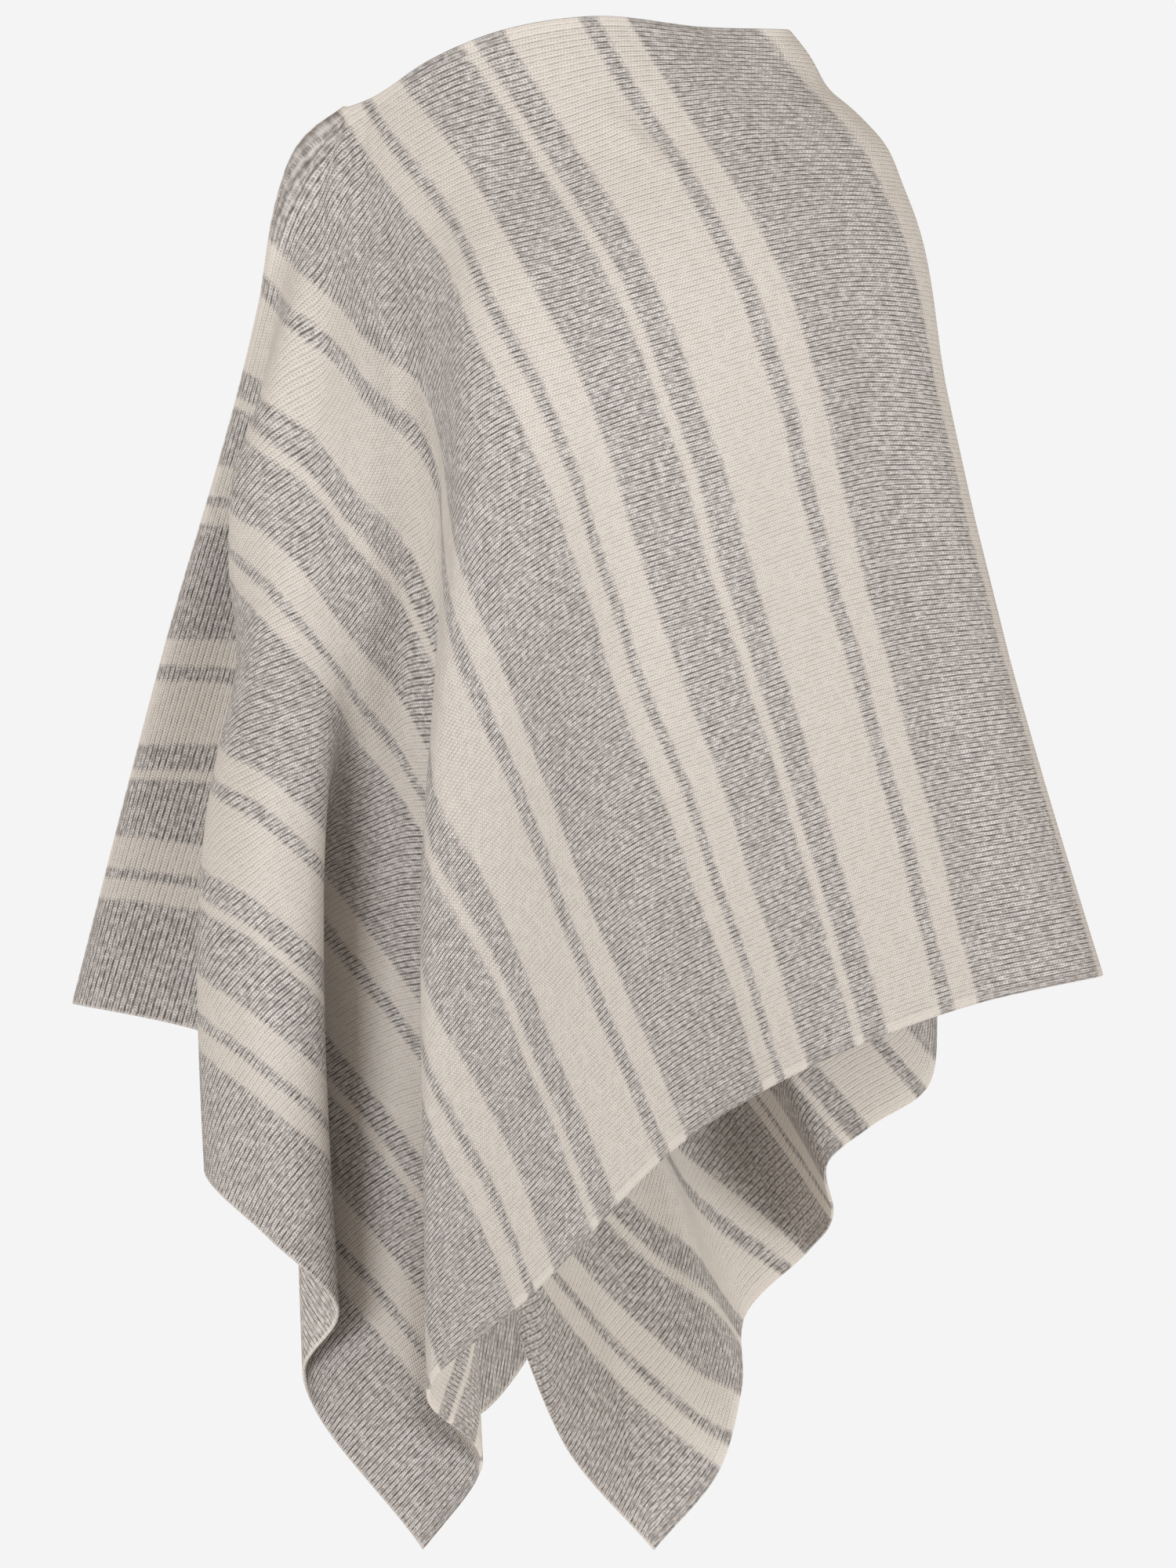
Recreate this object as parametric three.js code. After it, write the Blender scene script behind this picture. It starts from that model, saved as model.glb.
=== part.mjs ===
// Knitted poncho sweater, in millimetres: +Z up, the front faces -Y, +X is the wearer's left.
// One knitted rectangle is folded in half. The fold hangs over the left arm, the top edges are
// joined from the neck opening to the corner at the right hand, and the other edges hang free.

import * as THREE from "three";

// The cut of one half, measured flat
const halfWidth = 950; // across the stripes, from the fold to the side edge
const clothLength = 750; // along the stripes, from the top edge to the hem
const neckLength = 296; // of the top edge, left open next to the fold

// The wall and the spaces between pieces
const clothThickness = 2.6;
const pieceGap = 0.4;
const seamThickness = 2.6;

// How finely each half is divided
const stepsDown = 20;
const longestStepAcross = 35;
const fewestStepsAcross = 2;

// The neck opening seen from the front: where the top edge lies at each length from the fold
const neckEdge = [
  { from: 0, x: 140, z: 56 },
  { from: 14, x: 118, z: 53 },
  { from: 55, x: 79, z: 56 },
  { from: 127, x: 3, z: 62 },
  { from: 182, x: -58, z: 53 },
  { from: 231, x: -112, z: 32 },
  { from: 275, x: -151, z: 8 },
  { from: neckLength, x: -169, z: 1 },
];
const neckEndsY = 4;
const frontNeck = { bulge: -60, drop: 0 };
const backNeck = { bulge: 72, drop: 9 };

// Each half hangs in folds that spread from the neck edge. A fold is one row: where its straight
// line on the flat cloth starts on the neck edge (from) and ends (across, down), and the places
// that it passes: the foot of the neck, the shoulder, the waist and the hip where it bends there,
// and its end.
const columns = ["name", "from", "across", "down", "foot", "shoulder", "waist", "hip", "end"];

const armFold = ["left arm fold", 0, 0, 750,
  [189, 10, -5], [224, 12, -63], [252, 22, -200], [283, 40, -334], [364, 80, -609]];
const seamLine = ["joined edge", 296, 950, 0,
  [-214, 8, -58], [-230, 8, -137], null, [-298, 15, -384], [-364, 85, -629]];

const frontFolds = [
  armFold,
  ["left arm front", 55, 103, 750,
    [119, -55, -3], [152, -72, -64], null, [216, -20, -340], [276, 25, -627]],
  ["left breast", 127, 296, 750, [30, -85, -16], [52, -115, -86], null, [84, -85, -384], [123, -70, -686]],
  ["front middle", 182, 388, 750,
    [-30, -88, -36], [-12, -122, -107], null, [16, -112, -411], [69, -125, -718]],
  ["right breast", 231, 581, 750,
    [-95, -72, -54], [-90, -108, -134], null, [-66, -172, -492], [-48, -205, -831]],
  ["main ridge", 270, 685, 750,
    [-134, -50, -81], [-109, -86, -168], null, [-113, -190, -562], [-104, -245, -877]],
  ["main valley", 273, 880, 750,
    [-145, -46, -97], [-122, -84, -198], [-104, -104, -430], [-98, -108, -603], [-78, -90, -957]],
  ["front corner", 277, 950, 750,
    [-150, -42, -106], [-133, -82, -214], [-126, -92, -433], [-132, -95, -610], [-114, -120, -1002]],
  ["second valley", 281, 950, 588,
    [-162, -36, -100], [-153, -74, -201], [-160, -94, -392], [-192, -75, -532], [-197, -85, -881]],
  ["second ridge", 284, 950, 522,
    [-166, -32, -96], [-161, -68, -194], [-174, -96, -376], [-184, -125, -515], [-173, -135, -835]],
  ["right arm front", 286, 950, 451,
    [-171, -28, -92], [-169, -62, -186], [-191, -92, -353], [-220, -140, -481], [-221, -145, -785]],
  ["right arm ridge", 289, 950, 380,
    [-177, -24, -89], [-178, -54, -179], [-215, -84, -327], [-257, -85, -456], [-263, -120, -745]],
  ["right arm valley", 292, 950, 237,
    [-188, -14, -82], [-212, -34, -155], [-249, -45, -298], [-232, -35, -428], [-170, -15, -704]],
  ["right arm side", 294, 950, 96,
    [-202, -2, -71], [-218, -10, -148], null, [-244, 25, -386], [-270, 60, -649]],
  seamLine,
];

const backFolds = [
  armFold,
  ["left arm back", 33, 94, 750, [142, 40, 3], [176, 60, -56], null, null, [337, 165, -615]],
  ["left back ridge", 61, 182, 750, [106, 58, 5], [134, 85, -56], null, null, [311, 225, -620]],
  ["left back valley", 88, 264, 750, [70, 70, 5], [93, 100, -63], null, null, [285, 150, -613]],
  ["left hip ridge", 110, 341, 750, [42, 76, -4], [58, 108, -74], null, null, [255, 205, -621]],
  ["left hip", 132, 408, 750, [14, 80, -12], [26, 112, -84], null, null, [243, 175, -691]],
  ["left thigh", 154, 465, 750, [-13, 82, -21], [-6, 115, -94], null, null, [203, 145, -717]],
  ["crease", 170, 517, 750, [-34, 82, -28], [-31, 115, -103], null, null, [171, 115, -742]],
  ["back middle", 187, 581, 750, [-56, 80, -35], [-58, 114, -112], null, null, [175, 165, -783]],
  ["middle ridge", 209, 672, 750, [-86, 76, -45], [-93, 110, -126], null, null, [158, 225, -811]],
  ["right back", 226, 749, 750, [-110, 70, -52], [-103, 105, -144], null, null, [112, 182, -856]],
  ["right hip", 242, 819, 750, [-131, 62, -62], [-112, 98, -163], null, null, [109, 140, -908]],
  ["right thigh", 250, 865, 750, [-136, 58, -72], [-117, 93, -174], null, null, [96, 135, -958]],
  ["back corner", 258, 950, 750, [-143, 52, -85], [-125, 86, -188], null, null, [47, 125, -1019]],
  ["edge turn", 264, 950, 649, [-152, 48, -86], [-132, 80, -183], null, null, [-16, 140, -946]],
  ["edge valley", 268, 950, 556, [-159, 44, -85], [-147, 74, -178], null, null, [-51, 165, -850]],
  ["edge return", 272, 950, 512, [-163, 40, -84], [-155, 68, -175], null, null, [-34, 215, -866]],
  ["low ridge", 276, 950, 435, [-170, 35, -81], [-169, 60, -168], null, null, [-82, 235, -930]],
  ["low valley", 280, 950, 330, [-178, 30, -77], [-183, 50, -162], null, null, [-130, 190, -839]],
  ["side ridge", 284, 950, 237, [-186, 25, -72], [-195, 40, -155], null, null, [-180, 170, -754]],
  ["side valley", 288, 950, 143, [-195, 20, -67], [-209, 28, -148], null, null, [-235, 130, -697]],
  ["right arm back", 292, 950, 66, [-204, 14, -63], [-219, 16, -142], null, null, [-298, 110, -635]],
  seamLine,
];

// How far down its line a fold passes the foot of the neck, the shoulder, the waist, the hip, the end
const fractions = { foot: 0.1, shoulder: 0.2, waist: 0.4, hip: 0.6, end: 1 };

// How quickly the rounding at a cut corner gives way to a sharp point towards the end of the line
const cornerPower = 3;

// A smooth curve through points at uneven distances, with the end slopes given or left free
function slopesOf(points, distances, firstSlope, lastSlope) {
  const chords = points.slice(1).map((point, i) =>
    point.clone().sub(points[i]).divideScalar(distances[i + 1] - distances[i]),
  );
  const last = points.length - 1;
  const slopes = points.map((_, i) => {
    if (i === 0 || i === last) return null;
    const before = distances[i] - distances[i - 1];
    const after = distances[i + 1] - distances[i];
    return chords[i - 1].clone().lerp(chords[i], before / (before + after));
  });
  const free = (chord, inner) => chord.clone().multiplyScalar(1.5).addScaledVector(inner, -0.5);
  slopes[0] = firstSlope ?? free(chords[0], slopes[1]);
  slopes[last] = lastSlope ?? free(chords[last - 1], slopes[last - 1]);
  return { slopes, chords };
}

function between(start, startSlope, end, endSlope, span, x) {
  const square = x * x;
  const cube = square * x;
  return new THREE.Vector3()
    .addScaledVector(start, 2 * cube - 3 * square + 1)
    .addScaledVector(startSlope, span * (cube - 2 * square + x))
    .addScaledVector(end, 3 * square - 2 * cube)
    .addScaledVector(endSlope, span * (cube - square));
}

function pointAt(curve, distance) {
  let i = 0;
  while (i < curve.points.length - 2 && distance > curve.distances[i + 1]) i += 1;
  const span = curve.distances[i + 1] - curve.distances[i];
  return between(
    curve.points[i],
    curve.slopes[i],
    curve.points[i + 1],
    curve.slopes[i + 1],
    span,
    (distance - curve.distances[i]) / span,
  );
}

function curveThrough(points, distances) {
  return { points, distances, slopes: slopesOf(points, distances).slopes };
}

const neckCurve = curveThrough(
  neckEdge.map(({ x, z }) => new THREE.Vector3(x, 0, z)),
  neckEdge.map(({ from }) => from),
);

function neckPoint(from, { bulge, drop }) {
  const roundness = Math.sin((Math.PI * from) / neckLength);
  const point = pointAt(neckCurve, from);
  point.y = neckEndsY + bulge * roundness;
  point.z -= drop * roundness;
  return point;
}

// The line of one fold, from the neck edge to its end on the hem or the side edge
function foldLine(row, neck) {
  const fold = Object.fromEntries(columns.map((column, i) => [column, row[i]]));
  const passed = Object.keys(fractions).filter((place) => fold[place]);
  const points = passed.map((place) => new THREE.Vector3(...fold[place]));
  return {
    ...fold,
    curve: curveThrough(
      [neckPoint(fold.from, neck), ...points],
      [0, ...passed.map((place) => fractions[place])],
    ),
  };
}

// One half of the cloth as a grid of middle-surface points with the cloth's outward direction.
// outward is -1 on the front and 1 on the back. At the fold and at the joined edge the cloth
// runs straight from front to back, so both halves meet there edge to edge.
function hangCloth(rows, neck, outward) {
  const folds = rows.map((row) => foldLine(row, neck));
  const isCorner = folds.map(({ across, down }) => across === halfWidth && down === clothLength);
  const frontToBack = new THREE.Vector3(0, 1, 0);
  const startSlope = frontToBack.clone().multiplyScalar(outward);
  const endSlope = startSlope.clone().negate();

  const ends = folds.map((fold) => pointAt(fold.curve, 1));
  const stations = [];
  for (let i = 0; i < folds.length - 1; i += 1) {
    const span = ends[i].distanceTo(ends[i + 1]);
    const steps = Math.max(fewestStepsAcross, Math.ceil(span / longestStepAcross));
    for (let k = 0; k < steps; k += 1) stations.push({ i, x: k / steps });
  }
  stations.push({ i: folds.length - 2, x: 1 });

  const lines = stations.map(() => []);
  for (let k = 0; k <= stepsDown; k += 1) {
    const fraction = k / stepsDown;
    const points = folds.map((fold) => pointAt(fold.curve, fraction));
    const distances = [0];
    for (let i = 1; i < points.length; i += 1) {
      distances.push(distances[i - 1] + points[i].distanceTo(points[i - 1]));
    }
    const { slopes, chords } = slopesOf(points, distances, startSlope, endSlope);
    const sharp = fraction ** cornerPower;
    stations.forEach(({ i, x }, column) => {
      const leaving = isCorner[i] ? slopes[i].clone().lerp(chords[i], sharp) : slopes[i];
      const reaching = isCorner[i + 1] ? slopes[i + 1].clone().lerp(chords[i], sharp) : slopes[i + 1];
      const span = distances[i + 1] - distances[i];
      lines[column].push(between(points[i], leaving, points[i + 1], reaching, span, x));
    });
  }

  const last = lines.length - 1;
  const outwards = lines.map((line, column) =>
    line.map((point, k) => {
      const down = line[Math.min(k + 1, stepsDown)].clone().sub(line[Math.max(k - 1, 0)]);
      const across = lines[Math.min(column + 1, last)][k].clone().sub(lines[Math.max(column - 1, 0)][k]);
      if (column === 0) across.copy(startSlope);
      if (column === last) across.copy(endSlope);
      return across.cross(down).multiplyScalar(-outward).normalize();
    }),
  );
  lines[0].forEach((point) => point.addScaledVector(startSlope, pieceGap / 2));
  lines[last].forEach((point) => point.addScaledVector(endSlope, -pieceGap / 2));
  return { lines, outwards, outward };
}

// The closed wall around a grid of middle-surface points
function wallGeometry({ lines, outwards, outward }) {
  const across = lines.length;
  const down = lines[0].length;
  const positions = [];
  [clothThickness / 2, -clothThickness / 2].forEach((offset) => {
    lines.forEach((line, i) => {
      line.forEach((point, k) => {
        positions.push(...point.clone().addScaledVector(outwards[i][k], offset).toArray());
      });
    });
  });
  const outer = (i, k) => i * down + k;
  const inner = (i, k) => across * down + i * down + k;
  const indices = [];
  const quad = (a, b, c, d) => {
    if (outward < 0) indices.push(a, b, c, a, c, d);
    else indices.push(a, c, b, a, d, c);
  };
  for (let i = 0; i < across - 1; i += 1) {
    for (let k = 0; k < down - 1; k += 1) {
      quad(outer(i, k), outer(i + 1, k), outer(i + 1, k + 1), outer(i, k + 1));
      quad(inner(i, k), inner(i, k + 1), inner(i + 1, k + 1), inner(i + 1, k));
    }
  }
  for (let i = 0; i < across - 1; i += 1) {
    quad(outer(i, 0), inner(i, 0), inner(i + 1, 0), outer(i + 1, 0));
    quad(outer(i, down - 1), outer(i + 1, down - 1), inner(i + 1, down - 1), inner(i, down - 1));
  }
  for (let k = 0; k < down - 1; k += 1) {
    quad(outer(0, k), outer(0, k + 1), inner(0, k + 1), inner(0, k));
    quad(outer(across - 1, k), inner(across - 1, k), inner(across - 1, k + 1), outer(across - 1, k + 1));
  }
  const geometry = new THREE.BufferGeometry();
  geometry.setAttribute("position", new THREE.Float32BufferAttribute(positions, 3));
  geometry.setIndex(indices);
  geometry.computeVertexNormals();
  return geometry;
}

// The joined edge shows as a fine rounded seam that lies along the outside of the two halves
function seamGeometry(front) {
  const last = front.lines.length - 1;
  const reach = (clothThickness + seamThickness) / 2 + pieceGap;
  const path = front.lines[last].map((point, k) =>
    point.clone().addScaledVector(front.outwards[last][k], reach),
  );
  const section = new THREE.Shape().absarc(0, 0, seamThickness / 2, 0, 2 * Math.PI);
  return new THREE.ExtrudeGeometry(section, {
    extrudePath: new THREE.CatmullRomCurve3(path),
    steps: 2 * stepsDown,
    curveSegments: 4,
    bevelEnabled: false,
  });
}

const greyWool = new THREE.MeshStandardMaterial({ color: 0xaea7a2, roughness: 0.95, metalness: 0 });
const seamWool = new THREE.MeshStandardMaterial({ color: 0xbab3ad, roughness: 0.95, metalness: 0 });

function piece(name, geometry, material) {
  const mesh = new THREE.Mesh(geometry, material);
  mesh.name = name;
  return mesh;
}

const front = hangCloth(frontFolds, frontNeck, -1);
const back = hangCloth(backFolds, backNeck, 1);

const poncho = new THREE.Group();
poncho.name = "knitted_poncho_sweater";
poncho.add(piece("front_panel", wallGeometry(front), greyWool));
poncho.add(piece("back_panel", wallGeometry(back), greyWool));
poncho.add(piece("joined_edge_seam", seamGeometry(front), seamWool));

export default poncho;
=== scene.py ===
# Knitted poncho sweater, in metres: the worn cloth with its stripes, stitches and edges.
import math

import bpy
import numpy as np
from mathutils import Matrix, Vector


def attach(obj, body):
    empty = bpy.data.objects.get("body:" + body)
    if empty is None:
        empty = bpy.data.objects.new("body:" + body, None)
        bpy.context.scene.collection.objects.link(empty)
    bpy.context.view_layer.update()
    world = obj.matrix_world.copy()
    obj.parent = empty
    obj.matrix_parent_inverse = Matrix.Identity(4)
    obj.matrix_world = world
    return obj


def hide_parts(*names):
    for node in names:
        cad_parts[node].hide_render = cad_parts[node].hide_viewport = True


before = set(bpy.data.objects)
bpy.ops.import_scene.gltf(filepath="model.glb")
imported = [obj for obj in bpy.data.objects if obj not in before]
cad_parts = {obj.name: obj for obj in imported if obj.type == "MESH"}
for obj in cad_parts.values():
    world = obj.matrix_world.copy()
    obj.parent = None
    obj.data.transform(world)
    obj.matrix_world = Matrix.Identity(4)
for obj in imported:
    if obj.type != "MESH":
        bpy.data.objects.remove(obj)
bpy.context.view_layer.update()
scene = bpy.context.scene
print("frame loaded:", ", ".join(sorted(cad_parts)))


# Camera: level, straight at the front, from far away
view = {
    "distance": 8.0,  # from the plane through both shoulders
    "aimHeight": -0.473,
    "heightSeen": 1.1,  # at that plane, top to bottom of the picture
    "sensor": 36.0,
}


def addCamera():
    data = bpy.data.cameras.new("camera")
    data.sensor_width = view["sensor"]
    data.lens = view["sensor"] * view["distance"] / view["heightSeen"]
    data.clip_end = 100
    camera = bpy.data.objects.new("camera", data)
    camera.location = (0, -view["distance"], view["aimHeight"])
    camera.rotation_euler = (math.pi / 2, 0, 0)
    scene.collection.objects.link(camera)
    scene.camera = camera


addCamera()


# The cut of one half, laid flat: across runs from the fold to the side edge, down from top to hem
cut = {
    "across": 0.950,
    "down": 0.750,
    "neck": 0.296,  # of the top edge, left open next to the fold
    "thickness": 0.0026,
}

# The neck opening from the front: length from the fold, x, z
neckEdge = [
    (0.000, 0.140, 0.056),
    (0.014, 0.118, 0.053),
    (0.055, 0.079, 0.056),
    (0.127, 0.003, 0.062),
    (0.182, -0.058, 0.053),
    (0.231, -0.112, 0.032),
    (0.275, -0.151, 0.008),
    (cut["neck"], -0.169, 0.001),
]
neckForm = {
    "endsY": 0.004,
    "front": {"bulge": -0.060, "drop": 0.0},
    "back": {"bulge": 0.072, "drop": 0.009},
}

# A fold is a straight line on the flat cloth, from a place on the neck edge to (across, down) on the
# hem or the side edge. In space it passes the foot of the neck, the shoulder, the waist and the hip,
# with None where it runs straight on.
foldColumns = ("name", "start", "across", "down", "foot", "shoulder", "waist", "hip", "end")
passedAt = {"foot": 0.1, "shoulder": 0.2, "waist": 0.4, "hip": 0.6, "end": 1.0}

armFold = ("left arm fold", 0.000, 0.000, 0.750,
           (0.189, 0.010, -0.005), (0.224, 0.012, -0.063), (0.252, 0.022, -0.200),
           (0.283, 0.040, -0.334), (0.364, 0.080, -0.609))
seamLine = ("joined edge", 0.296, 0.950, 0.000,
            (-0.214, 0.008, -0.058), (-0.230, 0.008, -0.137), None, (-0.298, 0.015, -0.384),
            (-0.364, 0.085, -0.629))

frontFolds = [
    armFold,
    ("left arm front", 0.055, 0.103, 0.750,
     (0.119, -0.055, -0.003), (0.152, -0.072, -0.064), None, (0.216, -0.020, -0.340),
     (0.276, 0.025, -0.627)),
    ("left breast", 0.127, 0.296, 0.750,
     (0.030, -0.085, -0.016), (0.052, -0.115, -0.086), None, (0.084, -0.085, -0.384),
     (0.123, -0.070, -0.686)),
    ("front middle", 0.182, 0.388, 0.750,
     (-0.030, -0.088, -0.036), (-0.012, -0.122, -0.107), None, (0.016, -0.112, -0.411),
     (0.069, -0.125, -0.718)),
    ("right breast", 0.231, 0.581, 0.750,
     (-0.095, -0.072, -0.054), (-0.090, -0.108, -0.134), None, (-0.066, -0.172, -0.492),
     (-0.048, -0.205, -0.831)),
    ("main ridge", 0.270, 0.685, 0.750,
     (-0.134, -0.050, -0.081), (-0.109, -0.086, -0.168), None, (-0.113, -0.190, -0.562),
     (-0.104, -0.245, -0.877)),
    ("main valley", 0.273, 0.880, 0.750,
     (-0.145, -0.046, -0.097), (-0.122, -0.084, -0.198), (-0.104, -0.104, -0.430),
     (-0.098, -0.108, -0.603), (-0.078, -0.090, -0.957)),
    ("front corner", 0.277, 0.950, 0.750,
     (-0.150, -0.042, -0.106), (-0.133, -0.082, -0.214), (-0.126, -0.092, -0.433),
     (-0.132, -0.095, -0.610), (-0.114, -0.120, -1.002)),
    ("second valley", 0.281, 0.950, 0.588,
     (-0.162, -0.036, -0.100), (-0.153, -0.074, -0.201), (-0.160, -0.094, -0.392),
     (-0.192, -0.075, -0.532), (-0.197, -0.085, -0.881)),
    ("second ridge", 0.284, 0.950, 0.522,
     (-0.166, -0.032, -0.096), (-0.161, -0.068, -0.194), (-0.174, -0.096, -0.376),
     (-0.184, -0.125, -0.515), (-0.173, -0.135, -0.835)),
    ("right arm front", 0.286, 0.950, 0.451,
     (-0.171, -0.028, -0.092), (-0.169, -0.062, -0.186), (-0.191, -0.092, -0.353),
     (-0.220, -0.140, -0.481), (-0.221, -0.145, -0.785)),
    ("right arm ridge", 0.289, 0.950, 0.380,
     (-0.177, -0.024, -0.089), (-0.178, -0.054, -0.179), (-0.215, -0.084, -0.327),
     (-0.257, -0.085, -0.456), (-0.263, -0.120, -0.745)),
    ("right arm valley", 0.292, 0.950, 0.237,
     (-0.188, -0.014, -0.082), (-0.212, -0.034, -0.155), (-0.249, -0.045, -0.298),
     (-0.232, -0.035, -0.428), (-0.170, -0.015, -0.704)),
    ("right arm side", 0.294, 0.950, 0.096,
     (-0.202, -0.002, -0.071), (-0.218, -0.010, -0.148), None, (-0.244, 0.025, -0.386),
     (-0.270, 0.060, -0.649)),
    seamLine,
]
backFolds = [
    armFold,
    ("left arm back", 0.033, 0.094, 0.750,
     (0.142, 0.040, 0.003), (0.176, 0.060, -0.056), None, None, (0.337, 0.165, -0.615)),
    ("left back ridge", 0.061, 0.182, 0.750,
     (0.106, 0.058, 0.005), (0.134, 0.085, -0.056), None, None, (0.311, 0.225, -0.620)),
    ("left back valley", 0.088, 0.264, 0.750,
     (0.070, 0.070, 0.005), (0.093, 0.100, -0.063), None, None, (0.285, 0.150, -0.613)),
    ("left hip ridge", 0.110, 0.341, 0.750,
     (0.042, 0.076, -0.004), (0.058, 0.108, -0.074), None, None, (0.255, 0.205, -0.621)),
    ("left hip", 0.132, 0.408, 0.750,
     (0.014, 0.080, -0.012), (0.026, 0.112, -0.084), None, None, (0.243, 0.175, -0.691)),
    ("left thigh", 0.154, 0.465, 0.750,
     (-0.013, 0.082, -0.021), (-0.006, 0.115, -0.094), None, None, (0.203, 0.145, -0.717)),
    ("crease", 0.170, 0.517, 0.750,
     (-0.034, 0.082, -0.028), (-0.031, 0.115, -0.103), None, None, (0.171, 0.115, -0.742)),
    ("back middle", 0.187, 0.581, 0.750,
     (-0.056, 0.080, -0.035), (-0.058, 0.114, -0.112), None, None, (0.175, 0.165, -0.783)),
    ("middle ridge", 0.209, 0.672, 0.750,
     (-0.086, 0.076, -0.045), (-0.093, 0.110, -0.126), None, None, (0.158, 0.225, -0.811)),
    ("right back", 0.226, 0.749, 0.750,
     (-0.110, 0.070, -0.052), (-0.103, 0.105, -0.144), None, None, (0.112, 0.182, -0.856)),
    ("right hip", 0.242, 0.819, 0.750,
     (-0.131, 0.062, -0.062), (-0.112, 0.098, -0.163), None, None, (0.109, 0.140, -0.908)),
    ("right thigh", 0.250, 0.865, 0.750,
     (-0.136, 0.058, -0.072), (-0.117, 0.093, -0.174), None, None, (0.096, 0.135, -0.958)),
    ("back corner", 0.258, 0.950, 0.750,
     (-0.143, 0.052, -0.085), (-0.125, 0.086, -0.188), None, None, (0.047, 0.125, -1.019)),
    ("edge turn", 0.264, 0.950, 0.649,
     (-0.152, 0.048, -0.086), (-0.132, 0.080, -0.183), None, None, (-0.016, 0.140, -0.946)),
    ("edge valley", 0.268, 0.950, 0.556,
     (-0.159, 0.044, -0.085), (-0.147, 0.074, -0.178), None, None, (-0.051, 0.165, -0.850)),
    ("edge return", 0.272, 0.950, 0.512,
     (-0.163, 0.040, -0.084), (-0.155, 0.068, -0.175), None, None, (-0.034, 0.215, -0.866)),
    ("low ridge", 0.276, 0.950, 0.435,
     (-0.170, 0.035, -0.081), (-0.169, 0.060, -0.168), None, None, (-0.082, 0.235, -0.930)),
    ("low valley", 0.280, 0.950, 0.330,
     (-0.178, 0.030, -0.077), (-0.183, 0.050, -0.162), None, None, (-0.130, 0.190, -0.839)),
    ("side ridge", 0.284, 0.950, 0.237,
     (-0.186, 0.025, -0.072), (-0.195, 0.040, -0.155), None, None, (-0.180, 0.170, -0.754)),
    ("side valley", 0.288, 0.950, 0.143,
     (-0.195, 0.020, -0.067), (-0.209, 0.028, -0.148), None, None, (-0.235, 0.130, -0.697)),
    ("right arm back", 0.292, 0.950, 0.066,
     (-0.204, 0.014, -0.063), (-0.219, 0.016, -0.142), None, None, (-0.298, 0.110, -0.635)),
    seamLine,
]

# How finely each half is divided
grid = {
    "stepAcross": 0.0068,  # along the hem
    "fewestAcross": 3,  # between two folds
    "stepsDown": 140,
    "besideJoins": 0.001,  # an extra line this close to the fold and to the joined edge
    "rim": (0.08, 0.3, 0.65, 1.0),  # extra rows that round an edge, in half thicknesses
}
cornerPower = 3  # how late the rounding at a cut corner gives way to a sharp point


# Slopes of a smooth curve through the points, and of the straight lines between them
def slopesOf(points, distances):
    gaps = np.diff(distances)[:, None]
    chords = np.diff(points, axis=0) / gaps
    share = gaps[:-1] / (gaps[:-1] + gaps[1:])
    inner = chords[:-1] * (1 - share) + chords[1:] * share
    first = 1.5 * chords[0] - 0.5 * inner[0]
    last = 1.5 * chords[-1] - 0.5 * inner[-1]
    return np.vstack([first, inner, last]), chords


def between(start, startSlope, end, endSlope, span, x):
    square, cube = x * x, x * x * x
    return (
        start * (2 * cube - 3 * square + 1)
        + startSlope * (span * (cube - 2 * square + x))
        + end * (3 * square - 2 * cube)
        + endSlope * (span * (cube - square))
    )


def curvePoints(points, distances, wanted):
    points, distances = np.array(points, float), np.array(distances, float)
    slopes, _ = slopesOf(points, distances)
    found = []
    for distance in wanted:
        i = min(np.searchsorted(distances[1:-1], distance), len(points) - 2)
        span = distances[i + 1] - distances[i]
        x = (distance - distances[i]) / span
        found.append(between(points[i], slopes[i], points[i + 1], slopes[i + 1], span, x))
    return np.array(found)


def neckPoint(start, form):
    x, _, z = curvePoints([(x, 0, z) for _, x, z in neckEdge], [row[0] for row in neckEdge], [start])[0]
    roundness = math.sin(math.pi * start / cut["neck"])
    return (x, neckForm["endsY"] + form["bulge"] * roundness, z - form["drop"] * roundness)


# Points of one fold in space with their places on the flat cloth: x, y, z, across, down
def foldPoints(row, form, fractions):
    fold = dict(zip(foldColumns, row))
    passed = [place for place in passedAt if fold[place]]
    points = [neckPoint(fold["start"], form)] + [fold[place] for place in passed]
    inSpace = curvePoints(points, [0] + [passedAt[place] for place in passed], fractions)
    flatStart = np.array((fold["start"], 0))
    flatEnd = np.array((fold["across"], fold["down"]))
    flat = flatStart + np.outer(fractions, flatEnd - flatStart)
    return np.hstack([inSpace, flat])


# Lines across one half: which two folds each lies between, and how far from the first
def linesAcross(ends):
    spans = np.linalg.norm(np.diff(ends, axis=0), axis=1)
    lines = []
    for i, span in enumerate(spans):
        steps = max(grid["fewestAcross"], math.ceil(span / grid["stepAcross"]))
        lines += [(i, k / steps) for k in range(steps)]
    last = len(spans) - 1
    lines.insert(1, (0, grid["besideJoins"] / spans[0]))
    lines += [(last, 1 - grid["besideJoins"] / spans[last]), (last, 1.0)]
    return lines


# Rows down one half, closer together at the two edges, and how thick the cloth is at each
def rowsDown():
    half = cut["thickness"] / 2
    edge = [step * half / cut["down"] for step in grid["rim"]]
    middle = list(np.linspace(0, 1, grid["stepsDown"] + 1)[1:-1])
    fractions = [0] + edge + middle + [1 - step for step in reversed(edge)] + [1]
    rounding = [math.sqrt(1 - (1 - step) ** 2) for step in grid["rim"]]
    fullness = [0] + rounding + [1] * len(middle) + rounding[::-1] + [0]
    return np.array(fractions), np.array(fullness)


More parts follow.
